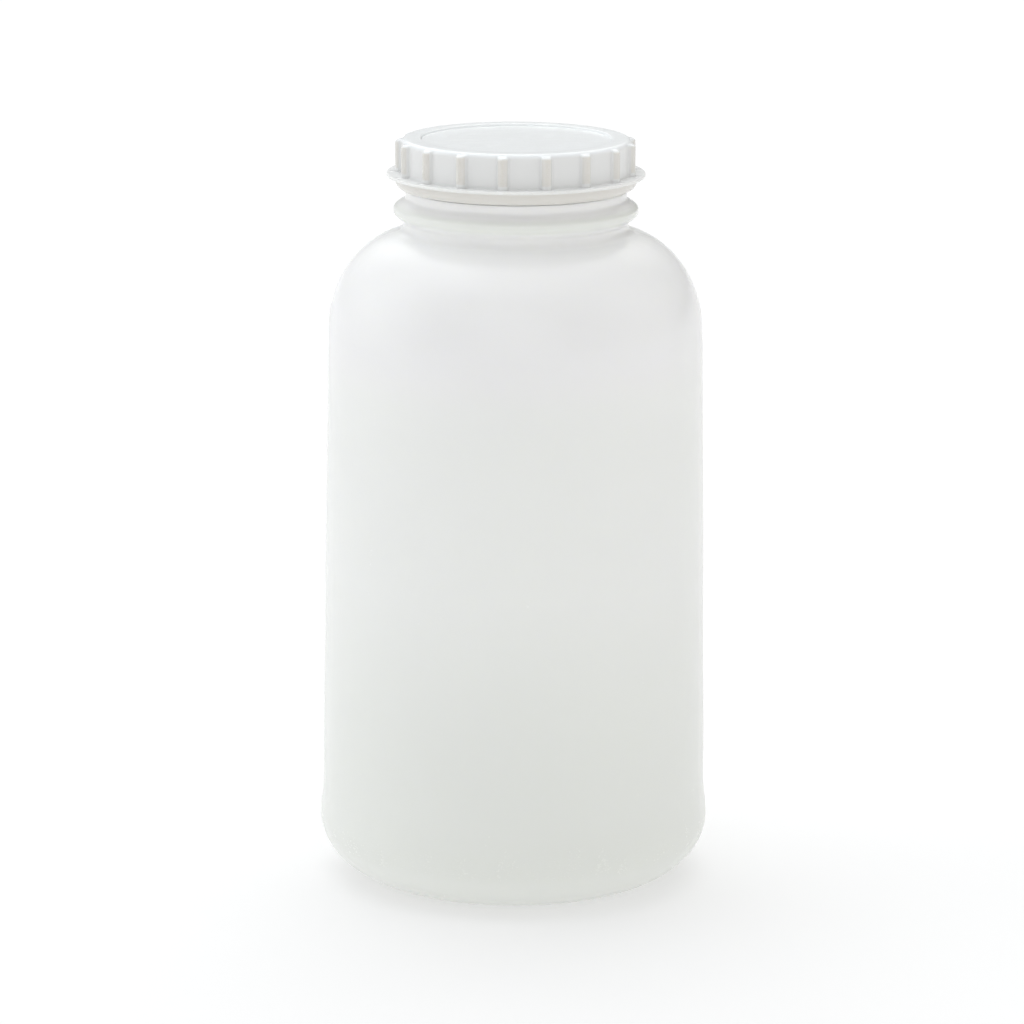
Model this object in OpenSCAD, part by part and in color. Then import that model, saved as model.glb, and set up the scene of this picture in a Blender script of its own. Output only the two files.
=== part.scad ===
// Wide-mouth screw-cap reagent bottle in milky plastic.
// Three mouldings: a blow-moulded bottle, a plug-type inner lid that seats in
// the mouth, and a ribbed screw cap that carries the lid with it.
// Units are millimetres. +Z is up. The origin is on the surface that the bottle
// stands on, at the centre of its standing ring.

/* [Body] */
// Outside diameter at the top of the straight wall
body_d = 120; // [110:1:130]
// How much wider the wall is at the heel, measured on the radius
body_taper = 2.5; // [0:0.1:4]
// How far the heel stands proud of the wall above it
heel_proud = 0.6; // [0:0.1:1.4]
// Wall thickness of the body
wall = 1.3; // [0.8:0.1:2.2]
// Thickness of the base
base_t = 1.7; // [1:0.1:3]
// Radial reach of the rounded heel
heel_r = 23.8; // [14:0.1:28]
// Height of the rounded heel
heel_h = 19.5; // [14:0.5:26]
// Width of the flat standing ring
foot_w = 3; // [2:0.5:5]
// Rise of the hollow under the base
push_up = 3.4; // [1:0.2:6]
// Height where the straight wall ends and the shoulder starts
shoulder_z = 179.5; // [140:0.5:210]
// Height of the rounded shoulder
shoulder_h = 32.2; // [26:0.2:38]

/* [Neck] */
// Outside diameter of the neck below the bead
neck_d = 71.5; // [69:0.1:73]
// Outside diameter of the neck between the bead and the cap
land_d = 70.5; // [68:0.1:71]
// Height of the neck from the shoulder to the lip
neck_h = 27.05; // [26:0.05:34]
// Outside diameter of the threaded part of the neck, at the thread's root
finish_d = 66.8; // [66.2:0.1:67]
// Diameter of the mouth
mouth_d = 62.8; // [61:0.2:63.2]
// Outside diameter of the bead round the neck
bead_d = 78; // [74:0.2:80]
// Height of the bead's outer edge
bead_w = 3.2; // [2.4:0.1:4]
// Height of the bead's sloping flanks, each
bead_flank = 2.6; // [1.6:0.1:2.8]
// Depth of the bead's middle below the lip
bead_drop = 20.1; // [19.6:0.1:21]

/* [Thread] */
// Rise of the thread in one turn
lead = 4; // [3.8:0.05:4.4]
// Turns of thread on the neck and in the cap
turns = 1.75; // [1.25:0.25:1.75]
// Height of the thread above its root
thread_h = 1.5; // [1.1:0.1:1.5]
// Running clearance between the neck's thread and the cap's
thread_gap = 0.35; // [0.3:0.01:0.4]

/* [Cap] */
// Diameter of the cap over its skirt, between the ribs
cap_d = 73.2; // [73:0.1:74]
// Diameter of the cap over its ribs
rib_d = 77; // [76:0.1:77.6]
// Number of grip ribs
rib_count = 17; // [12:1:24]
// Width of one grip rib
rib_w = 3.2; // [2.4:0.1:3.6]
// Angle of the first rib from +X
rib_start = 9.4; // [0:0.1:20]
// Diameter of the thin flange at the foot of the ribs
flange_d = 82.3; // [80:0.1:84]
// Thickness of the flange
flange_t = 0.9; // [0.8:0.1:1.6]
// Diameter of the plain band below the flange
band_d = 77.4; // [76.6:0.1:78]
// Width of the band's rounded lower edge
band_edge_w = 2.5; // [1:0.1:2.6]
// Height of the band's rounded lower edge
band_edge_h = 3.4; // [1:0.1:3.6]
// Radius of the edge round the cap's top
top_edge = 1.6; // [0.8:0.1:1.8]
// Diameter of the sunk panel in the cap's top
panel_d = 60.4; // [50:0.2:63]
// Depth of the sunk panel
panel_dip = 0.7; // [0.3:0.1:1]

/* [Inner lid] */
// Diameter of the lid's rim
lid_rim_d = 69.4; // [68.8:0.1:69.4]
// Thickness of the lid's rim
lid_rim_t = 1; // [0.6:0.1:1]
// Depth of the plug below the rim
plug_h = 8; // [5:0.5:8]
// Wall thickness of the plug
plug_wall = 1.2; // [0.8:0.1:1.6]
// Length of the grip tab
tab_l = 18; // [12:1:24]

/* [Hidden] */
$fn = 120;

body_r = body_d / 2;
base_r = body_r + body_taper + heel_proud;
neck_r = neck_d / 2;
finish_r = finish_d / 2;
mouth_r = mouth_d / 2;
land_r = land_d / 2;
bead_r = bead_d / 2;

// The shoulder is a quarter ellipse that would run out inside the neck.
sh_in = neck_r - 3.35;
sh_a = body_r - sh_in;
sh_end = acos(3.35 / sh_a);
neck_z = shoulder_z + shoulder_h * sin(sh_end);
lip_z = neck_z + neck_h;
heel_c = base_r - heel_r;
foot_in = heel_c - foot_w;
bead_z = lip_z - bead_drop;
neck_wall = 3;
neck_in = neck_r - neck_wall;

// Heights on the cap, all measured from the lip.
cap_under = lip_z + 0.1 + lid_rim_t + 0.1;
cap_top = cap_under + 1.6;
cap_foot = lip_z - 13.1;
flange_z = lip_z - 8.7;
cap_r = cap_d / 2;
cap_in = finish_r + thread_h + thread_gap;
edge_w = min(band_edge_w, band_d / 2 - cap_in - 0.8);
// Under the sunk panel the top is thicker, within the lid's wall.
under_r = min(panel_d / 2 - 1.6, mouth_r - plug_wall - 1.2);

// Helix heights. The cap's ridge lies under the neck's, with 0.3 mm between
// their flanks, and starts a little earlier round the neck.
neck_thread_z = lip_z - 2.35 - lead * turns;
cap_thread_start = -10;
cap_thread_z = neck_thread_z - 1.36 + lead * cap_thread_start / 360;

// Points along an elliptic arc, from angle a0 to a1 in n steps.
function arc(cx, cz, ra, rz, a0, a1, n) =
    [for (i = [0:n]) let (a = a0 + (a1 - a0) * i / n) [cx + ra * cos(a), cz + rz * sin(a)]];

// A smooth step from 0 to 1.
function rise(t) = t * t * (3 - 2 * t);

// The straight wall, with its lowest 10 mm run out to the proud heel. The inset
// is the wall's thickness for its inner face.
function side(inset) = [for (i = [0:8]) let (z = heel_h + 10 * i / 8)
    [body_r + body_taper * (shoulder_z - z) / (shoulder_z - heel_h)
        + heel_proud * (1 - rise(i / 8)) - inset, z]];

// The hollow under the base, z0 high at its rim.
function dome(z0, n) =
    [for (i = [0:n]) let (r = foot_in * i / n) [r, z0 + push_up * (1 - pow(r / foot_in, 2))]];

function flip(p) = [for (i = [len(p) - 1:-1:0]) p[i]];

// The bead's outline, a soft bulge of the neck: rb is the bulge's radius, w its
// height, rl and ru the neck's radius below and above it.
function bead(rb, w, rl, ru) = concat(
    [for (i = [0:8]) [rl + (rb - rl) * rise(i / 8),
                      bead_z - w / 2 - bead_flank + (bead_flank + w / 3) * i / 8]],
    [for (i = [8:-1:0]) [ru + (rb - ru) * rise(i / 8),
                         bead_z + w / 2 + bead_flank - (bead_flank + w / 3) * i / 8]]);

// A thread ridge, swept along a right-hand helix and faded out at both ends.
// rb is the radius of its buried foot, rc of its crest, wb and wc its height at
// each, z0 the height of its middle at angle a0.
module helix_ridge(rb, rc, wb, wc, z0, a0, n_turns) {
    n = round(48 * n_turns);
    fade = 5;
    function f(i) = min(1, 0.2 + 0.8 * min(i, n - i) / fade);
    function ring(i) = let (a = a0 + 360 * n_turns * i / n, z = z0 + lead * n_turns * i / n,
                            c = rb + (rc - rb) * f(i))
        [[rb, z - wb / 2, a], [c, z - wc / 2, a], [c, z + wc / 2, a], [rb, z + wb / 2, a]];
    raw = [for (i = [0:n]) each rc > rb ? ring(i) : flip(ring(i))];
    points = [for (p = raw) [p[0] * cos(p[2]), p[0] * sin(p[2]), p[1]]];
    sides = [for (i = [0:n - 1], k = [0:3]) let (a = 4 * i + k, b = 4 * i + (k + 1) % 4)
        each [[a, b, a + 4], [b, b + 4, a + 4]]];
    polyhedron(points, concat([[2, 1, 0], [3, 2, 0]], sides,
        [[4 * n, 4 * n + 1, 4 * n + 2], [4 * n, 4 * n + 2, 4 * n + 3]]));
}

// One blow-moulded piece: body, shoulder, beaded neck and thread.
module bottle() color([0.90, 0.91, 0.90]) union() {
    rotate_extrude() polygon(concat(
        dome(0, 10),
        arc(heel_c, heel_h, heel_r, heel_h, -90, -4, 16),
        side(0),
        arc(sh_in, shoulder_z, sh_a, shoulder_h, 0, sh_end, 26),
        bead(bead_r, bead_w, neck_r, land_r),
        [[land_r, cap_foot - 0.9], [land_r - 0.3, cap_foot - 0.5], [finish_r, cap_foot],
         [finish_r, lip_z - 0.6], [finish_r - 0.25, lip_z - 0.15], [finish_r - 0.7, lip_z],
         [mouth_r + 0.6, lip_z], [mouth_r + 0.2, lip_z - 0.15], [mouth_r, lip_z - 0.6]],
        // below the mouth the neck is wider inside too, and bulges behind the bead
        [[mouth_r, cap_foot - 0.2], [neck_in, cap_foot - 1.8]],
        flip(bead(bead_r - 2.2, bead_w - 1.1, neck_in, neck_in)),
        [[neck_in, neck_z - 0.4]],
        flip(arc(sh_in, shoulder_z, sh_a - wall, shoulder_h - neck_wall, 0, sh_end, 26)),
        flip(side(wall)),
        flip(arc(heel_c, heel_h, heel_r - wall, heel_h - base_t, -90, -4, 16)),
        flip(dome(base_t, 10))));
    helix_ridge(finish_r - 0.6, finish_r + thread_h, 1.76, 0.8, neck_thread_z, 200, turns);
    // the pinch-off seam across the hollow of the base
    intersection() {
        translate([-25, -0.5, 0]) cube([50, 1, push_up + base_t]);
        rotate_extrude() polygon(concat(
            [for (p = dome(-0.7, 10)) if (p[1] > 0.2) p],
            flip([for (p = dome(base_t / 2, 10)) if (p[1] > base_t / 2 + 0.9) p])));
    }
}

// A plug lid: a rim that lies on the lip, a short wall in the mouth and a tab.
module inner_lid() color([0.93, 0.94, 0.93]) {
    z0 = lip_z + 0.1;
    rr = lid_rim_d / 2;
    pr = mouth_r - 0.25;
    union() {
        rotate_extrude() polygon([
            [0, z0 - plug_h], [pr - 1.4, z0 - plug_h], [pr - 0.8, z0 - plug_h + 0.5],
            [pr - 0.3, z0 - plug_h + 2], [pr, z0 - plug_h + 3.5], [pr, z0],
            [rr - 0.2, z0], [rr, z0 + 0.2], [rr, z0 + lid_rim_t - 0.3], [rr - 0.3, z0 + lid_rim_t],
            [pr - plug_wall + 0.4, z0 + lid_rim_t], [pr - plug_wall, z0 + lid_rim_t - 0.4],
            [pr - plug_wall, z0 - plug_h + 2.6], [pr - plug_wall - 1, z0 - plug_h + 1.5],
            [pr - plug_wall - 2, z0 - plug_h + 1.2], [0, z0 - plug_h + 1.2]]);
        // the tab that lifts the lid out
        translate([-tab_l / 2, -1, z0 - plug_h + 0.6]) cube([tab_l, 2, plug_h - 2.1]);
        translate([-tab_l / 2, 0, z0 - 1.5]) rotate([0, 90, 0]) cylinder(d = 2.6, h = tab_l, $fn = 32);
        // its two buttresses
        for (s = [-1, 1]) translate([s * (tab_l / 2 - 2) - 0.6, -3.4, z0 - plug_h + 0.6])
            cube([1.2, 6.8, 2.2]);
    }
}

// One grip rib: a half-round bar with a tapered top.
module rib(h) {
    rr = rib_w / 2;
    translate([rib_d / 2 - rr, 0, 0]) cylinder(r = rr, h = h - 0.9, $fn = 32);
    translate([rib_d / 2 - rr, 0, h - 0.9]) cylinder(r1 = rr, r2 = rr - 0.7, h = 0.9, $fn = 32);
    translate([cap_r - 1, -rr, 0]) cube([rib_d / 2 - rr - cap_r + 1, rib_w, h - 0.9]);
}

// The screw cap: ribbed skirt, thin flange, plain band and inside thread.
module screw_cap() color([0.92, 0.93, 0.93]) union() {
    pan_r = panel_d / 2;
    rotate_extrude() polygon([
        [0, cap_top - panel_dip], [pan_r - 0.4, cap_top - panel_dip], [pan_r, cap_top - panel_dip + 0.3],
        [pan_r + 0.2, cap_top - 0.15], [pan_r + 0.6, cap_top],
        for (a = [90:-15:0]) [cap_r - top_edge * (1 - cos(a)), cap_top - top_edge * (1 - sin(a))],
        [cap_r, flange_z + flange_t / 2],
        [flange_d / 2 - 0.3, flange_z + flange_t / 2], [flange_d / 2, flange_z + flange_t / 2 - 0.3],
        [flange_d / 2, flange_z - flange_t / 2 + 0.3], [flange_d / 2 - 0.3, flange_z - flange_t / 2],
        [band_d / 2, flange_z - flange_t / 2],
        for (a = [0:11.25:90]) [band_d / 2 - edge_w * (1 - cos(a)), cap_foot + band_edge_h * (1 - sin(a))],
        [cap_in + 0.5, cap_foot], [cap_in, cap_foot + 0.5],
        [cap_in, lip_z - 1.3],
        // the snap ring that holds the lid's rim
        [cap_in - 0.9, lip_z - 1.0], [cap_in - 1.15, lip_z - 0.8], [cap_in - 1.15, lip_z - 0.5],
        [cap_in, lip_z - 0.2],
        [cap_in, cap_under],
        [under_r + 0.4, cap_under], [under_r, cap_under - 0.6],
        [0, cap_under - 0.6]]);
    // the ribs, which end within the skirt's wall
    difference() {
        for (i = [0:rib_count - 1]) rotate([0, 0, rib_start + i * 360 / rib_count])
            translate([0, 0, flange_z]) rib(cap_top - 0.75 - flange_z);
        cylinder(r = cap_r - 0.8, h = cap_top + 1);
    }
    helix_ridge(cap_in + 0.5, cap_in - thread_h, 1.7, 0.8, cap_thread_z, 200 + cap_thread_start, turns);
}

bottle();
inner_lid();
screw_cap();
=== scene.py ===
"""Looks of the wide-mouth reagent bottle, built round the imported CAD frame. Lengths in the mesh code are millimetres, and MM turns them into metres."""

import math

import bmesh
import bpy
import numpy as np
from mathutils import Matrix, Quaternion, Vector


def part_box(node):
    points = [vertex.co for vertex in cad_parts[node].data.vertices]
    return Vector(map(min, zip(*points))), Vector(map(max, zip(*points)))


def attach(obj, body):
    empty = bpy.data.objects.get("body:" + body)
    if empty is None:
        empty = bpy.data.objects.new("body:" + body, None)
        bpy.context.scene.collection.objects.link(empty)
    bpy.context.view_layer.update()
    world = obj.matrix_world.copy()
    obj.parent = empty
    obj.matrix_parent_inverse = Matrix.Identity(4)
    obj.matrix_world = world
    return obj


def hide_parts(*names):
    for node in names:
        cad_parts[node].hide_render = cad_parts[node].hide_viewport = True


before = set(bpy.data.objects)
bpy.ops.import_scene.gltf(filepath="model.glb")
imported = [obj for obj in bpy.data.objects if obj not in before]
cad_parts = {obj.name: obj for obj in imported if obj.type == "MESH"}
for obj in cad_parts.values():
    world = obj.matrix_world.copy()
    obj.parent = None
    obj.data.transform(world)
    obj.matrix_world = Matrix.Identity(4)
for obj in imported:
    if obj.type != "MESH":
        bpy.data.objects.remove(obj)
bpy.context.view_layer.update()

MM = 0.001
scene = bpy.context.scene

# ---------------------------------------------------------------- sizes, as in the CAD
BODY_R, TAPER, HEEL_PROUD = 60.0, 2.5, 0.6
BASE_R = BODY_R + TAPER + HEEL_PROUD
WALL, BASE_T = 1.3, 1.7
HEEL_R, HEEL_H, FOOT_W, PUSH_UP = 23.8, 19.5, 3.0, 3.4
SHOULDER_Z, SHOULDER_H = 179.5, 32.2
NECK_R, LAND_R, NECK_IN, FINISH_R, MOUTH_R = 35.75, 35.25, 32.75, 33.4, 31.4
BEAD_R, BEAD_W, BEAD_FLANK = 39.0, 3.2, 2.6
LEAD, TURNS, THREAD_H = 4.0, 1.75, 1.5
LIP_Z = round(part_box("bottle")[1][2] / MM, 4)
BEAD_Z = LIP_Z - 20.1

SH_IN = NECK_R - 3.35
SH_A = BODY_R - SH_IN
SH_END = math.acos(3.35 / SH_A)
NECK_Z = SHOULDER_Z + SHOULDER_H * math.sin(SH_END)
HEEL_C = BASE_R - HEEL_R
FOOT_IN = HEEL_C - FOOT_W
NECK_THREAD_Z = LIP_Z - 2.35 - LEAD * TURNS

LID_Z, LID_RIM_R, LID_RIM_T, PLUG_H, PLUG_WALL = LIP_Z + 0.1, 34.7, 1.0, 8.0, 1.2
TAB_L = 18.0

CAP_UNDER = LIP_Z + 1.2
CAP_TOP = CAP_UNDER + 1.6
CAP_FOOT = LIP_Z - 13.1
FLANGE_Z = LIP_Z - 8.7
CAP_R, CAP_IN, RIB_TIP, RIB_W, TOP_EDGE = 36.6, 35.25, 38.5, 3.2, 1.6
FLANGE_R, FLANGE_T, BAND_R, EDGE_W, EDGE_H = 41.15, 0.9, 38.7, 2.5, 3.4
PANEL_R, PANEL_DIP = 30.2, 0.7
RIBS, RIB_START = 17, 9.4
CAP_THREAD_Z = NECK_THREAD_Z - 1.36 - LEAD * 10 / 360


# ---------------------------------------------------------------- mesh helpers
def arc(cx, cz, ra, rz, a0, a1, n):
    t = np.radians(np.linspace(a0, a1, n + 1))
    return [(cx + ra * math.cos(a), cz + rz * math.sin(a)) for a in t]


def line(p, q, n):
    """Points from p to q, without p itself."""
    return [(p[0] + (q[0] - p[0]) * i / n, p[1] + (q[1] - p[1]) * i / n) for i in range(1, n + 1)]


def rounded(points, radius, steps=4):
    """An open outline with each inner corner rounded; radius is a number or one per point."""
    pts = [np.array(p, float) for p in points]
    out = [tuple(pts[0])]
    for i in range(1, len(pts) - 1):
        r = radius[i] if isinstance(radius, (list, tuple)) else radius
        a, b, c = pts[i - 1], pts[i], pts[i + 1]
        u, v = (a - b), (c - b)
        lu, lv = np.linalg.norm(u), np.linalg.norm(v)
        u, v = u / lu, v / lv
        half = math.acos(max(-1.0, min(1.0, float(u @ v)))) / 2
        if r <= 0 or half > math.radians(89):
            out.append(tuple(b))
            continue
        cut = min(r / math.tan(half), lu * 0.49, lv * 0.49)
        p, q = b + u * cut, b + v * cut
        for k in range(steps + 1):
            t = k / steps
            out.append(tuple((1 - t) ** 2 * p + 2 * t * (1 - t) * b + t * t * q))
    out.append(tuple(pts[-1]))
    return out


def smooth(x):
    x = np.clip(x, 0.0, 1.0)
    return x * x * (3 - 2 * x)


def lathe(name, radius, height, theta):
    """A closed solid from a grid: row i, column j is at radius[i, j], height[i, j] and angle theta[j]. The first and last rows are points on the axis."""
    rows, cols = radius.shape
    verts = [(0.0, 0.0, height[0, 0] * MM)]
    c, s = np.cos(theta), np.sin(theta)
    for i in range(1, rows - 1):
        verts += list(zip(radius[i] * c * MM, radius[i] * s * MM, height[i] * MM))
    verts.append((0.0, 0.0, height[-1, 0] * MM))
    last = len(verts) - 1
    faces = []
    for j in range(cols):
        k = (j + 1) % cols
        faces.append((0, 1 + k, 1 + j))
        for i in range(rows - 3):
            a, b = 1 + i * cols, 1 + (i + 1) * cols
            faces.append((a + j, a + k, b + k, b + j))
        a = 1 + (rows - 3) * cols
        faces.append((last, a + j, a + k))
    mesh = bpy.data.meshes.new(name)
    mesh.from_pydata([tuple(map(float, v)) for v in verts], [], faces)
    mesh.validate()
    bm = bmesh.new()
    bm.from_mesh(mesh)
    bmesh.ops.recalc_face_normals(bm, faces=bm.faces)
    bm.to_mesh(mesh)
    bm.free()
    for p in mesh.polygons:
        p.use_smooth = True
    piece = bpy.data.objects.new(name, mesh)
    scene.collection.objects.link(piece)
    return piece


def union(piece, other):
    """Joins other into piece as one closed solid."""
    mod = piece.modifiers.new("join", "BOOLEAN")
    mod.operation, mod.solver, mod.object = "UNION", "EXACT", other
    deps = bpy.context.evaluated_depsgraph_get()
    mesh = bpy.data.meshes.new_from_object(piece.evaluated_get(deps))
    piece.modifiers.clear()
    piece.data = mesh
    bpy.data.objects.remove(other, do_unlink=True)


def helix(theta, z, z0, a0, wide, crest, height, cols_fade=5):
    """The height of a right-hand thread ridge over its root, at each angle (radians) and height."""
    out = np.zeros_like(z)
    base = np.degrees(theta)[None, :] - a0
    for k in range(-1, 4):
        along = np.mod(base, 360.0) + 360.0 * k
        mid = z0 + LEAD * along / 360.0
        d = np.abs(z - mid)
        flank = smooth((wide / 2 - d) / (wide / 2 - crest / 2))
        fade = smooth(along / 40.0) * smooth((360.0 * TURNS - along) / 40.0)
        ok = (along >= 0) & (along <= 360.0 * TURNS)
        out = np.maximum(out, np.where(ok, flank * fade * height, 0.0))
    return out


def waves(theta, z, seed, cycles, long_mm, n=10):
    """A slow wander between 0 and 1 over a round wall, the same on each run."""
    rng = np.random.default_rng(seed)
    total = np.zeros_like(z)
    for _ in range(n):
        a = rng.integers(1, cycles + 1)
        f = rng.uniform(0.3, 1.0) / long_mm * 2 * math.pi
        p, q = rng.uniform(0, 2 * math.pi, 2)
        total += np.sin(a * theta[None, :] + p + 0.6 * np.sin(f * z + q)) * np.cos(f * z + q)
    return 0.5 + 0.5 * np.clip(total / (0.9 * math.sqrt(n)), -1, 1)


# ---------------------------------------------------------------- the bottle
def bead_line(rb, w, rl, ru, n=16):
    """The bead, a soft bulge of the neck: rl and ru are the neck's radius below and above it."""
    rise = BEAD_FLANK + w / 3
    low = [(rl + (rb - rl) * float(smooth(i / n)), BEAD_Z - w / 2 - BEAD_FLANK + rise * i / n) for i in range(n + 1)]
    high = [(ru + (rb - ru) * float(smooth(i / n)), BEAD_Z + w / 2 + BEAD_FLANK - rise * i / n) for i in range(n, -1, -1)]
    return low + high


def wall_r(z):
    """Radius of the outer wall between the heel and the shoulder, which runs out to the proud heel."""
    return BODY_R + TAPER * (SHOULDER_Z - z) / (SHOULDER_Z - HEEL_H) + HEEL_PROUD * (1 - float(smooth((z - HEEL_H) / 10)))


def make_bottle():
    dome = [(FOOT_IN * i / 18, PUSH_UP * (1 - (i / 18) ** 2)) for i in range(19)]
    outer = dome[:-1]
    outer += [(FOOT_IN - 0.5, 0.05), (FOOT_IN + 0.4, 0.0), (FOOT_IN + 1.5, 0.0), (HEEL_C - 0.4, 0.0)]
    outer += arc(HEEL_C, HEEL_H, HEEL_R, HEEL_H, -88, -2, 30)
    heights = [HEEL_H + 0.6 + 1.2 * i for i in range(9)] + list(np.linspace(HEEL_H + 12.5, SHOULDER_Z, 54))
    outer += [(wall_r(z), float(z)) for z in heights]
    end = math.degrees(SH_END)
    outer += arc(SH_IN, SHOULDER_Z, SH_A, SHOULDER_H, 1.5, end - 5.5, 44)
    # the soft foot of the neck, tangent to the shoulder and to the neck
    leave = math.radians(end - 5.5)
    p0 = outer[-1]
    zc = p0[1] + SHOULDER_H * math.cos(leave) / (SH_A * math.sin(leave)) * (p0[0] - NECK_R)
    p2 = BEAD_Z - BEAD_W / 2 - BEAD_FLANK - 0.2
    for i in range(1, 10):
        t = i / 9
        outer.append(((1 - t) ** 2 * p0[0] + (1 - (1 - t) ** 2) * NECK_R, (1 - t) ** 2 * p0[1] + 2 * t * (1 - t) * zc + t * t * p2))
    outer += bead_line(BEAD_R, BEAD_W, NECK_R, LAND_R)
    z1 = outer[-1][1]
    outer += line((LAND_R, z1), (LAND_R, CAP_FOOT - 0.48), 3)
    outer += [(LAND_R - 0.06, CAP_FOOT - 0.38), (LAND_R - 0.22, CAP_FOOT - 0.33), (FINISH_R + 0.25, CAP_FOOT - 0.05), (FINISH_R, CAP_FOOT + 0.15)]
    outer += line((FINISH_R, CAP_FOOT + 0.15), (FINISH_R, LIP_Z - 0.9), 84)
    outer += arc(FINISH_R - 0.8, LIP_Z - 0.8, 0.8, 0.8, 10, 90, 6)
    inner = arc(MOUTH_R + 0.6, LIP_Z - 0.6, 0.6, 0.6, 90, 180, 6)
    inner += line((MOUTH_R, LIP_Z - 0.6), (MOUTH_R, CAP_FOOT), 8)
    inner += [(MOUTH_R + 0.12, CAP_FOOT - 0.35), (NECK_IN - 0.15, CAP_FOOT - 1.55), (NECK_IN, CAP_FOOT - 1.9)]
    hollow = bead_line(BEAD_R - 2.2, BEAD_W - 1.1, NECK_IN, NECK_IN)
    inner += hollow[::-1]
    inner += line(inner[-1], (NECK_IN, NECK_Z + 0.9), 2)
    ins = arc(SH_IN, SHOULDER_Z, SH_A - WALL, SHOULDER_H - 3.0, 0, end, 40)[::-1]
    inner += rounded([inner[-1], (NECK_IN, NECK_Z - 1.6), ins[1]], 1.4, 5)[1:]
    inner += ins[2:]
    inner += [(wall_r(z) - WALL, float(z)) for z in list(np.linspace(SHOULDER_Z, HEEL_H + 12, 36))[1:] + [HEEL_H + 9.5 - 1.5 * i for i in range(6)]]
    inner += arc(HEEL_C, HEEL_H, HEEL_R - WALL, HEEL_H - BASE_T, 0, -90, 24)
    inner += [(r, z + BASE_T) for r, z in dome[::-1]]
    prof = np.array(outer + inner)
    n_out = len(outer)

    cols = list(np.linspace(0, 2 * math.pi, 240, endpoint=False))
    for side in (0.0, math.pi):  # closer columns along the mould's parting line
        cols += [side + d / 61.0 for d in (-0.9, -0.6, -0.35, -0.15, 0.15, 0.35, 0.6, 0.9)]
    theta = np.array(sorted(c % (2 * math.pi) for c in cols))

    rad = np.repeat(prof[:, :1], len(theta), axis=1)
    z = np.repeat(prof[:, 1:], len(theta), axis=1)
    is_out = (np.arange(len(prof)) < n_out)[:, None]
    # the thread
    zone = is_out & (z > CAP_FOOT + 0.2) & (z < LIP_Z - 0.5)
    rad = rad + np.where(zone, helix(theta, z, NECK_THREAD_Z, 200.0, 1.76, 0.7, THREAD_H), 0)
    # a blown wall is never quite true: it wanders inwards by up to 0.22 mm
    soft = smooth((z - 12) / 25) * smooth((NECK_Z - 3 - z) / 20)
    wander = waves(theta, z, 4, 4, 120.0) * 0.22 + waves(theta, z, 9, 9, 38.0) * 0.07
    rad = rad - np.where(is_out, wander * soft, 0)
    # the parting line of the two mould halves, a fine low ridge
    for side in (0.0, math.pi):
        d = (np.mod(theta - side + math.pi, 2 * math.pi) - math.pi)[None, :] * rad
        seam = np.exp(-((d / 0.28) ** 2)) * 0.10 * smooth((z - 1.5) / 6) * smooth((NECK_Z + 2.5 - z) / 3)
        rad = rad + np.where(is_out, np.minimum(seam, np.where(z < 40, 0.03, 1.0)), 0)
    rad = np.minimum(rad, BASE_R - 0.04)
    piece = lathe("bottle_shell", rad, z, theta)

    # the pinch-off seam, a curved strip across the hollow of the base
    bm = bmesh.new()
    xs = np.linspace(-25, 25, 41)
    rings = []
    for x in xs:
        under = PUSH_UP * (1 - (abs(x) / FOOT_IN) ** 2)
        end = smooth((25 - abs(x)) / 3.0)
        w = 0.18 + 0.34 * float(end)
        deep = 0.65 * float(end)
        rings.append([bm.verts.new((x * MM, y * MM, zz * MM)) for y, zz in (
            (-w - 0.2, under + 0.6), (-w, under - 0.25 * deep), (-w * 0.5, under - 0.85 * deep), (0, under - deep),
            (w * 0.5, under - 0.85 * deep), (w, under - 0.25 * deep), (w + 0.2, under + 0.6))])
    for a, b in zip(rings, rings[1:]):
        for k in range(7):
            bm.faces.new((a[k], a[(k + 1) % 7], b[(k + 1) % 7], b[k]))
    bm.faces.new(rings[0])
    bm.faces.new(rings[-1][::-1])
    bmesh.ops.recalc_face_normals(bm, faces=bm.faces)
    strip = bpy.data.meshes.new("pinch")
    bm.to_mesh(strip)
    bm.free()
    for p in strip.polygons:
        p.use_smooth = True
    strip_obj = bpy.data.objects.new("pinch", strip)
    scene.collection.objects.link(strip_obj)
    union(piece, strip_obj)
    return piece


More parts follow.
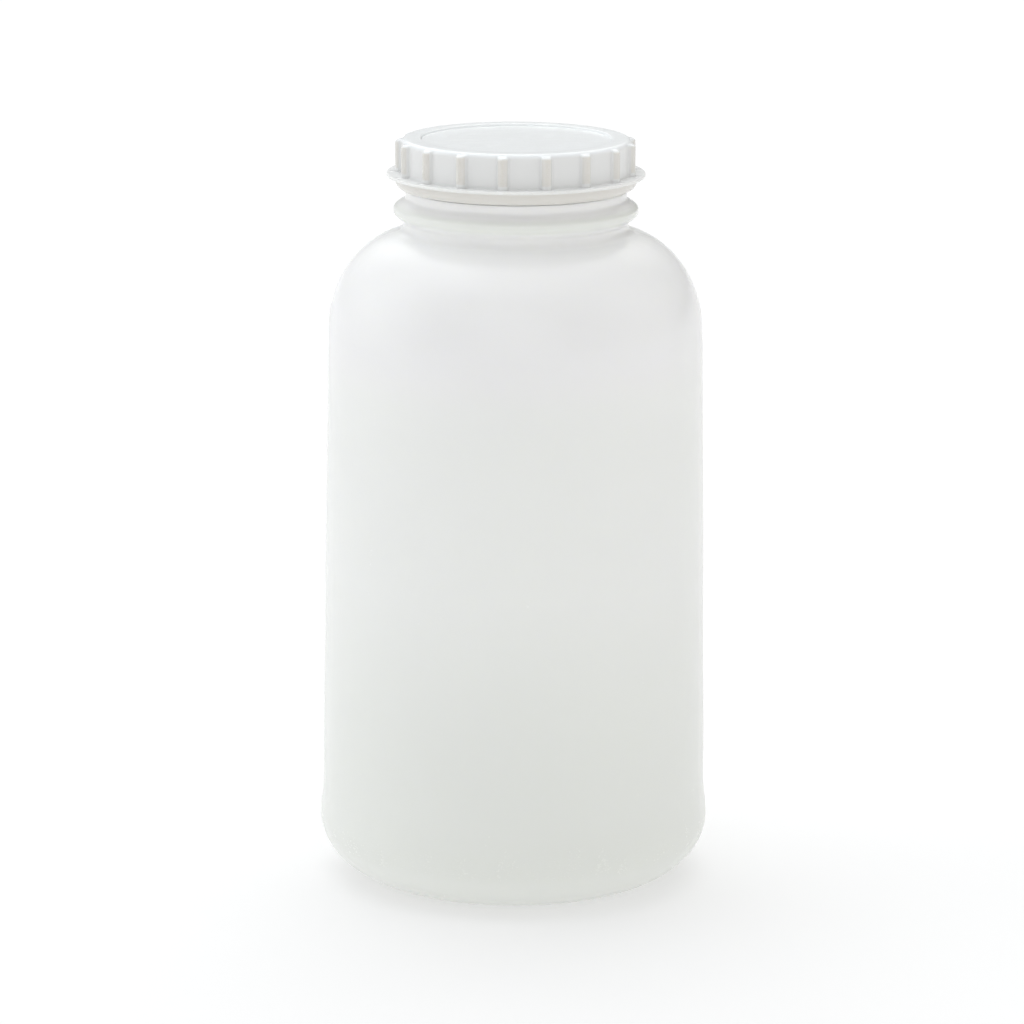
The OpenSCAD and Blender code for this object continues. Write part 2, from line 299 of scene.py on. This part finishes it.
# ---------------------------------------------------------------- the inner lid
def make_lid():
    pr, rr, z0 = MOUTH_R - 0.25, LID_RIM_R, LID_Z
    corners = [(0, z0 - PLUG_H), (pr - 1.4, z0 - PLUG_H), (pr, z0 - PLUG_H + 3.2), (pr, z0), (rr, z0),
               (rr, z0 + LID_RIM_T), (pr - PLUG_WALL, z0 + LID_RIM_T), (pr - PLUG_WALL, z0 - PLUG_H + 1.2),
               (0, z0 - PLUG_H + 1.2)]
    prof = np.array(rounded(corners, [0, 0.7, 1.5, 0.15, 0.3, 0.4, 0.4, 1.6, 0], 5))
    theta = np.linspace(0, 2 * math.pi, 180, endpoint=False)
    rad = np.repeat(prof[:, :1], len(theta), axis=1)
    z = np.repeat(prof[:, 1:], len(theta), axis=1)
    piece = lathe("inner_lid_shell", rad, z, theta)
    # the tab: a web with a thicker rolled top, and two buttresses
    foot, top = z0 - PLUG_H + 0.6, z0 - 0.25
    half = [(1.0, foot), (1.0, top - 2.2), (1.3, top - 1.6), (1.3, top - 0.8), (0.9, top - 0.25), (0.35, top)]
    ring = half + [(-y, z_) for y, z_ in half[::-1]]
    bm = bmesh.new()
    rows = []
    for x in (-9.0, -8.9, -8.5, -6, -3, 0, 3, 6, 8.5, 8.9, 9.0):
        k = {9.0: 0.72, 8.9: 0.9}.get(abs(x), 1.0)
        rows.append([bm.verts.new((x * MM, y * k * MM, (zz - (0.35 * (1 - k) * 3 if zz > top - 1 else 0)) * MM)) for y, zz in ring])
    m = len(ring)
    for a, b in zip(rows, rows[1:]):
        for k in range(m):
            bm.faces.new((a[k], a[(k + 1) % m], b[(k + 1) % m], b[k]))
    bm.faces.new(rows[0])
    bm.faces.new(rows[-1][::-1])
    bmesh.ops.recalc_face_normals(bm, faces=bm.faces)
    mesh = bpy.data.meshes.new("tab")
    bm.to_mesh(mesh)
    bm.free()
    tab = bpy.data.objects.new("tab", mesh)
    scene.collection.objects.link(tab)
    union(piece, tab)
    for s in (-1, 1):
        bm = bmesh.new()
        bmesh.ops.create_cube(bm, size=1.0)
        for v in bm.verts:
            wide = 3.4 if v.co.z < 0 else 1.6
            v.co = Vector(((s * 7 + v.co.x * 1.2) * MM, math.copysign(wide, v.co.y) * MM, (foot + (2.2 if v.co.z > 0 else 0)) * MM))
        bmesh.ops.bevel(bm, geom=bm.edges[:], offset=0.25 * MM, segments=2, affect="EDGES")
        mesh = bpy.data.meshes.new("buttress")
        bm.to_mesh(mesh)
        bm.free()
        part = bpy.data.objects.new("buttress", mesh)
        scene.collection.objects.link(part)
        union(piece, part)
    return piece


# ---------------------------------------------------------------- the screw cap
def make_cap():
    zt, zp = CAP_TOP, CAP_TOP - PANEL_DIP
    f_lo, f_hi = FLANGE_Z - FLANGE_T / 2, FLANGE_Z + FLANGE_T / 2
    top = rounded([(0, zp), (PANEL_R - 0.1, zp), (PANEL_R + 0.35, zt), (CAP_R - TOP_EDGE - 1.0, zt)], [0, 0.35, 0.35, 0], 5)[1:]
    top = [(0, zp), (3.0, zp), (8.0, zp), (15.0, zp), (22.0, zp), (27.0, zp)] + top
    top += arc(CAP_R - TOP_EDGE, zt - TOP_EDGE, TOP_EDGE, TOP_EDGE, 90, 0, 14)
    n_top = len(top)
    rib_rows = line(top[-1], (CAP_R, f_hi + 2.0), 24)
    below = rounded([(CAP_R, f_hi + 2.0), (CAP_R, f_hi), (FLANGE_R, f_hi), (FLANGE_R, f_lo), (BAND_R, f_lo), (BAND_R, CAP_FOOT + EDGE_H)],
                    [0, 0.95, 0.3, 0.3, 0.4, 0], 5)[1:]
    below += arc(BAND_R - EDGE_W, CAP_FOOT + EDGE_H, EDGE_W, EDGE_H, 0, -90, 16)[1:]
    below += rounded([below[-1], (CAP_IN, CAP_FOOT), (CAP_IN, CAP_FOOT + 1.2)], [0, 0.45, 0], 5)[1:]
    skirt = line(below[-1], (CAP_IN, LIP_Z - 1.4), 60)
    snap = rounded([(CAP_IN, LIP_Z - 1.4), (CAP_IN - 1.15, LIP_Z - 0.85), (CAP_IN - 1.15, LIP_Z - 0.5), (CAP_IN, LIP_Z - 0.15),
                    (CAP_IN, CAP_UNDER), (PANEL_R - 1.2, CAP_UNDER), (PANEL_R - 1.6, CAP_UNDER - 0.6), (0, CAP_UNDER - 0.6)],
                   [0, 0.25, 0.2, 0.2, 0.4, 0.3, 0.3, 0], 4)[1:]
    snap = snap[:-1] + [(20.0, CAP_UNDER - 0.6), (8.0, CAP_UNDER - 0.6), snap[-1]]
    prof = np.array(top + rib_rows + below + skirt + snap)
    n_rib = len(rib_rows)
    n_in = len(top) + n_rib + len(below)

    # columns: close together over each rib, wider between
    pitch = 2 * math.pi / RIBS
    offs = [0, 0.35, 0.68, 0.98, 1.22, 1.4, 1.52, 1.59, 1.66, 1.78, 1.96, 2.25, 2.8, 3.6, 4.5, 5.5]
    cols = []
    for i in range(RIBS):
        mid = math.radians(RIB_START) + i * pitch
        for o in offs:
            cols += [mid + o / CAP_R] if o == 0 else [mid + o / CAP_R, mid - o / CAP_R]
    theta = np.array(sorted(c % (2 * math.pi) for c in cols))
    rad = np.repeat(prof[:, :1], len(theta), axis=1)
    z = np.repeat(prof[:, 1:], len(theta), axis=1)
    # the ribs: half-round bars with a small fillet at the foot and a domed top
    d = (np.mod(theta - math.radians(RIB_START) + pitch / 2, pitch) - pitch / 2) * CAP_R
    x = np.abs(d)
    hr = RIB_W / 2
    core = np.where(x < hr, RIB_TIP - CAP_R - hr + np.sqrt(np.maximum(hr * hr - x * x, 0)), 0)
    fillet = np.where(x >= hr - 0.06, 0.42 * smooth((hr + 0.62 - x) / 0.62) ** 2, 0)
    bar = np.maximum(np.minimum(core, RIB_TIP - CAP_R), fillet)[None, :]
    row = np.arange(len(prof))[:, None]
    in_rib = (row >= n_top - 15) & (row < n_top + n_rib + 6) & (prof[:, :1] < CAP_R + 1.2) & (z < zt - 0.6)
    t = np.clip((zt - 0.6 - z) / 1.1, 0, 1)
    rib = CAP_R - 0.6 + (bar + 0.6) * np.sqrt(1 - (1 - t) ** 2)
    rad = np.where(in_rib & (bar > 0), np.maximum(rad, rib), rad)
    # the inside thread
    zone = (row >= n_in) & (row < n_in + 60)
    rad = rad - np.where(zone, helix(theta, z, CAP_THREAD_Z, 190.0, 1.7, 0.7, THREAD_H), 0)
    return lathe("screw_cap_shell", rad, z, theta)


# ---------------------------------------------------------------- materials
def plastic(name, tint, deep, shade_and_wear_tint, rough, radius, bump, streak, painted_shade, rubbed, dense=()):
    """A milky moulded plastic. tint and deep are the light and dark ends of its own colour. The third colour is painted
    shade: it is mixed in at the first of the two lists of places, to make them look darker than the lamps make them,
    and the greyer colour of rubbed places is made from it too. Both lists, the painted-shade places and the rubbed
    places, hold places as (what, lowest, full, share), what being z, -z or r, in mm; a place is where all of its rows
    hold.
    """
    mat = bpy.data.materials.new(name)
    mat.use_nodes = True
    nt = mat.node_tree
    nt.nodes.clear()
    N, L = nt.nodes.new, nt.links.new
    out = N("ShaderNodeOutputMaterial")
    bsdf = N("ShaderNodeBsdfPrincipled")
    coord = N("ShaderNodeTexCoord")
    where = N("ShaderNodeSeparateXYZ")
    L(coord.outputs["Object"], where.inputs[0])

    def noise(scale, detail, stretch=(1, 1, 1), distort=0.0):
        m = N("ShaderNodeMapping")
        m.inputs["Scale"].default_value = stretch
        L(coord.outputs["Object"], m.inputs["Vector"])
        n = N("ShaderNodeTexNoise")
        n.inputs["Scale"].default_value = scale
        n.inputs["Detail"].default_value = detail
        n.inputs["Distortion"].default_value = distort
        L(m.outputs["Vector"], n.inputs["Vector"])
        return n.outputs["Fac"]

    def ramp(fac, a, b, lo, hi, soft=False):
        r = N("ShaderNodeMapRange")
        if soft:
            r.interpolation_type = "SMOOTHSTEP"
        r.inputs["From Min"].default_value, r.inputs["From Max"].default_value = a, b
        r.inputs["To Min"].default_value, r.inputs["To Max"].default_value = lo, hi
        L(fac, r.inputs["Value"])
        return r.outputs["Result"]

    def math_node(op, a, b=0.0):
        m = N("ShaderNodeMath")
        m.operation = op
        for i, v in enumerate((a, b)):
            if isinstance(v, (int, float)):
                m.inputs[i].default_value = v
            else:
                L(v, m.inputs[i])
        return m.outputs[0]

    def mix(fac, a, b):
        m = N("ShaderNodeMix")
        m.data_type = "RGBA"
        L(fac, m.inputs["Factor"])
        for i, v in ((6, a), (7, b)):
            if isinstance(v, tuple):
                m.inputs[i].default_value = (*v, 1)
            else:
                L(v, m.inputs[i])
        return m.outputs[2]

    x, y, z = where.outputs
    radial = math_node("SQRT", math_node("ADD", math_node("MULTIPLY", x, x), math_node("MULTIPLY", y, y)))
    below = math_node("MULTIPLY", z, -1.0)

    def places(rows):
        """The greatest of the places; each row (what, lowest, full, share) multiplies into its place."""
        total = None
        for place in rows:
            one = None
            for what, low, full, share in place:
                here = ramp({"z": z, "-z": below, "r": radial}[what], low * MM, full * MM, 0.0, share, True)
                one = here if one is None else math_node("MULTIPLY", one, here)
            total = one if total is None else math_node("MAXIMUM", total, one)
        return total

    cloud = noise(14.0, 3.0, (1, 1, 0.5))  # wall thickness wanders, so the milkiness does
    flow = noise(55.0, 2.0, (1, 1, streak))  # parison or flow streaks
    mixed = math_node("ADD", ramp(cloud, 0.3, 0.7, 0.0, 0.7), ramp(flow, 0.35, 0.65, 0.0, 0.3))
    colour = mix(mixed, tint, deep)
    # painted shade: the darker third colour is mixed in at the painted-shade places, so they look less lit than the
    # lamps make them
    if painted_shade:
        colour = mix(places(painted_shade), colour, shade_and_wear_tint)

    fine = noise(1400.0, 2.0)  # the mould's fine texture
    scuff = noise(160.0, 4.0, (1, 1, 0.35), 0.6)
    gloss = math_node("ADD", ramp(fine, 0.3, 0.7, rough - 0.015, rough + 0.015), ramp(scuff, 0.5, 0.8, 0.0, 0.03))
    worn = None
    if rubbed:  # rubbed places are duller, a little greyer and covered in fine marks
        marks = noise(700.0, 5.0, (1, 1, 2.2), 1.2)
        worn = math_node("MULTIPLY", places(rubbed), ramp(marks, 0.35, 0.65, 0.1, 1.0))
        colour = mix(math_node("MULTIPLY", worn, 0.35), colour, tuple(0.93 * c for c in shade_and_wear_tint[:2]) + (0.9 * shade_and_wear_tint[2],))
        gloss = math_node("ADD", gloss, math_node("MULTIPLY", worn, 0.05))
    L(colour, bsdf.inputs["Base Color"])
    L(gloss, bsdf.inputs["Roughness"])
    bsdf.inputs["IOR"].default_value = 1.52
    bsdf.inputs["Subsurface Weight"].default_value = 1.0
    bsdf.inputs["Subsurface Radius"].default_value = radius
    bsdf.inputs["Subsurface Scale"].default_value = 0.001
    if dense:  # a thick place loses less light to the hollow inside, so it comes out nearer to where it went in
        L(ramp(places(dense), 0.0, 1.0, 0.001, 0.0003), bsdf.inputs["Subsurface Scale"])
    height = math_node("ADD", math_node("MULTIPLY", fine, 0.25), math_node("ADD", noise(180.0, 3.0, (1, 1, 0.6)), math_node("MULTIPLY", flow, 1.2)))
    if worn is not None:
        height = math_node("SUBTRACT", height, math_node("MULTIPLY", worn, 0.12))
    b = N("ShaderNodeBump")
    b.inputs["Strength"].default_value = bump
    b.inputs["Distance"].default_value = 0.0002
    L(height, b.inputs["Height"])
    L(b.outputs["Normal"], bsdf.inputs["Normal"])
    L(bsdf.outputs[0], out.inputs["Surface"])
    return mat


# Bottle: the third colour is painted shade. It is mixed in darker towards the bottom of the body (from z 206 and from z
# 190 downwards) for less light low down, and over the bead to dull its lit upper flank. The rubbed places are wear at
# the foot and the heel.
bottle_mat = plastic("bottle_plastic", (0.983, 0.992, 0.978), (0.973, 0.983, 0.964), (0.825, 0.842, 0.808), 0.24, (1.2, 1.2, 1.14), 0.25, 0.12,
                     [[("-z", -206, -150, 0.58)], [("-z", -190, -35, 1.0)], [("r", 36.4, 38.6, 0.85), ("z", BEAD_Z - 5, BEAD_Z - 3.4, 1.0)]],
                     [[("-z", -3.0, -0.5, 1.0)], [("-z", -32, -16, 0.55), ("r", 61.2, 62.4, 1.0)]], [[("z", 202, 209, 1.0)]])
# Cap: the warm grey third colour is painted shade. It is mixed in on the skirt's sides below the top, so the sides are
# darker than the lit top. It is also mixed in on the ribs, for their shaded flanks, and on the band under the flange,
# for the shade under it. The rubbed places are wear on the rib crests and on the flange rim.
cap_mat = plastic("cap_plastic", (0.892, 0.916, 0.94), (0.878, 0.90, 0.92), (0.725, 0.70, 0.655), 0.22, (1.0, 1.0, 1.0), 0.22, 1.0,
                  [[("r", CAP_R - 0.9, CAP_R, 0.38),("-z", -(CAP_TOP - 0.3), -(CAP_TOP - 1.6), 1.0)],
                   [("r", CAP_R + 0.1, CAP_R + 1.1, 0.75), ("z", FLANGE_Z + 1.0, FLANGE_Z + 2.0, 1.0), ("-z", -(CAP_TOP - 0.6), -(CAP_TOP - 1.8), 1.0)],
                   [("-z", -(FLANGE_Z - 0.2), -(FLANGE_Z - 1.0), 0.8)]],
                  [[("r", RIB_TIP - 0.35, RIB_TIP, 1.0), ("z", FLANGE_Z + 1, FLANGE_Z + 3, 1.0)], [("r", FLANGE_R - 0.6, FLANGE_R, 0.8)]])
lid_mat = plastic("lid_plastic", (0.89, 0.90, 0.89), (0.86, 0.87, 0.86), (0.86, 0.87, 0.86), 0.4, (1.2, 1.2, 1.2), 0.2, 1.0,
                  [], [[("r", LID_RIM_R - 0.5, LID_RIM_R, 0.8)]])

bottle = make_bottle()
lid = make_lid()
cap = make_cap()
for piece, mat, node, body in ((bottle, bottle_mat, "bottle", "bottle"), (lid, lid_mat, "inner_lid", "lid"), (cap, cap_mat, "screw_cap", "cap")):
    piece.data.materials.clear()
    piece.data.materials.append(mat)
    for p in piece.data.polygons:
        p.use_smooth = True
    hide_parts(node)
    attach(piece, body)

# ---------------------------------------------------------------- the stage
floor_mesh = bpy.data.meshes.new("floor")
floor_mesh.from_pydata([(-12, -12, 0), (12, -12, 0), (12, 12, 0), (-12, 12, 0)], [], [(0, 1, 2, 3)])
floor = bpy.data.objects.new("floor", floor_mesh)
scene.collection.objects.link(floor)
fm = bpy.data.materials.new("floor")
fm.use_nodes = True
fb = fm.node_tree.nodes["Principled BSDF"]
fb.inputs["Base Color"].default_value = (0.5, 0.5, 0.5, 1)
fb.inputs["Emission Color"].default_value = (1, 1, 1, 1)  # a white table lit from below, so shadows stay faint
fb.inputs["Emission Strength"].default_value = 0.44
fb.inputs["Roughness"].default_value = 0.7
fb.inputs["Specular IOR Level"].default_value = 0.2
floor_mesh.materials.append(fm)

# Soft studio light from all round, as one smooth field of brightness by direction: even light with broad panels in it, the
# strongest low on the left and high behind, then overhead, a low one in front and weaker ones on the right.
world = bpy.data.worlds.new("world")
scene.world = world
world.use_nodes = True
wt = world.node_tree
bg = wt.nodes["Background"]


BASE_LIGHT = 0.345
PANELS = (  # share, degrees round from the front towards the right, degrees up, full within, none beyond
    (0.99, 0, 90, 0, 45),
    (1.45, 180, 48, 0, 42),
    (0.12, 90, 48, 0, 42),
    (0.48, 85, 12, 0, 42),
    (0.93, 0, 12, 0, 42),
    (0.66, -90, 12, 0, 42),
    (0.42, -125, 14, 38, 46),
    (0.60, -104, 62, 8, 26),
)


def wmath(op, a, b=0.0, clamp=False):
    m = wt.nodes.new("ShaderNodeMath")
    m.operation, m.use_clamp = op, clamp
    for i, v in enumerate((a, b)):
        if isinstance(v, (int, float)):
            m.inputs[i].default_value = v
        else:
            wt.links.new(v, m.inputs[i])
    return m.outputs[0]


def patch(direction, inner, outer):
    """1 within inner degrees of a direction, falling to 0 at outer degrees."""
    v = wt.nodes.new("ShaderNodeVectorMath")
    v.operation = "DOT_PRODUCT"
    wt.links.new(sky.outputs["Generated"], v.inputs[0])
    v.inputs[1].default_value = Vector(direction).normalized()
    r = wt.nodes.new("ShaderNodeMapRange")
    r.interpolation_type = "SMOOTHSTEP"
    r.inputs["From Min"].default_value, r.inputs["From Max"].default_value = math.cos(math.radians(outer)), math.cos(math.radians(inner))
    wt.links.new(v.outputs["Value"], r.inputs["Value"])
    return r.outputs["Result"]


sky = wt.nodes.new("ShaderNodeTexCoord")
total = BASE_LIGHT
for share, azimuth, height, inner, outer in PANELS:
    az, el = math.radians(azimuth), math.radians(height)
    toward = (math.cos(el) * math.sin(az), -math.cos(el) * math.cos(az), math.sin(el))
    total = wmath("ADD", wmath("MULTIPLY", patch(toward, inner, outer), share), total)
wt.links.new(wmath("MAXIMUM", total, 0.05), bg.inputs["Strength"])
tone = wt.nodes.new("ShaderNodeMix")
tone.data_type = "RGBA"
wt.links.new(patch((-0.55, 0.1, 0.8), 10, 110), tone.inputs["Factor"])
tone.inputs[6].default_value = (1.0, 0.985, 0.955, 1)
tone.inputs[7].default_value = (0.965, 0.985, 1.0, 1)
wt.links.new(tone.outputs[2], bg.inputs["Color"])


def aim(obj, target, roll=0.0):
    turn = (Vector(target) - obj.location).to_track_quat("-Z", "Y") @ Quaternion((0, 0, 1), math.radians(roll))
    obj.rotation_euler = turn.to_euler()


# ---------------------------------------------------------------- the camera
DIST, PITCH, FOCAL = 1.5, math.radians(13.062), 3.0917 * 1500
cam_data = bpy.data.cameras.new("camera")
cam = bpy.data.objects.new("camera", cam_data)
scene.collection.objects.link(cam)
cam_data.sensor_width = 36.0
cam_data.lens = FOCAL / 1024 * 36.0
cam_data.clip_end = 50
cam.location = (0, -DIST * math.cos(PITCH), 0.12 + DIST * math.sin(PITCH))
aim(cam, (0, 0, 0.12), 0.25)
cam_data.shift_x = (512 - 514.7) / 1024
cam_data.shift_y = (509.7 - 512) / 1024
scene.camera = cam
scene.view_settings.view_transform = "Standard"
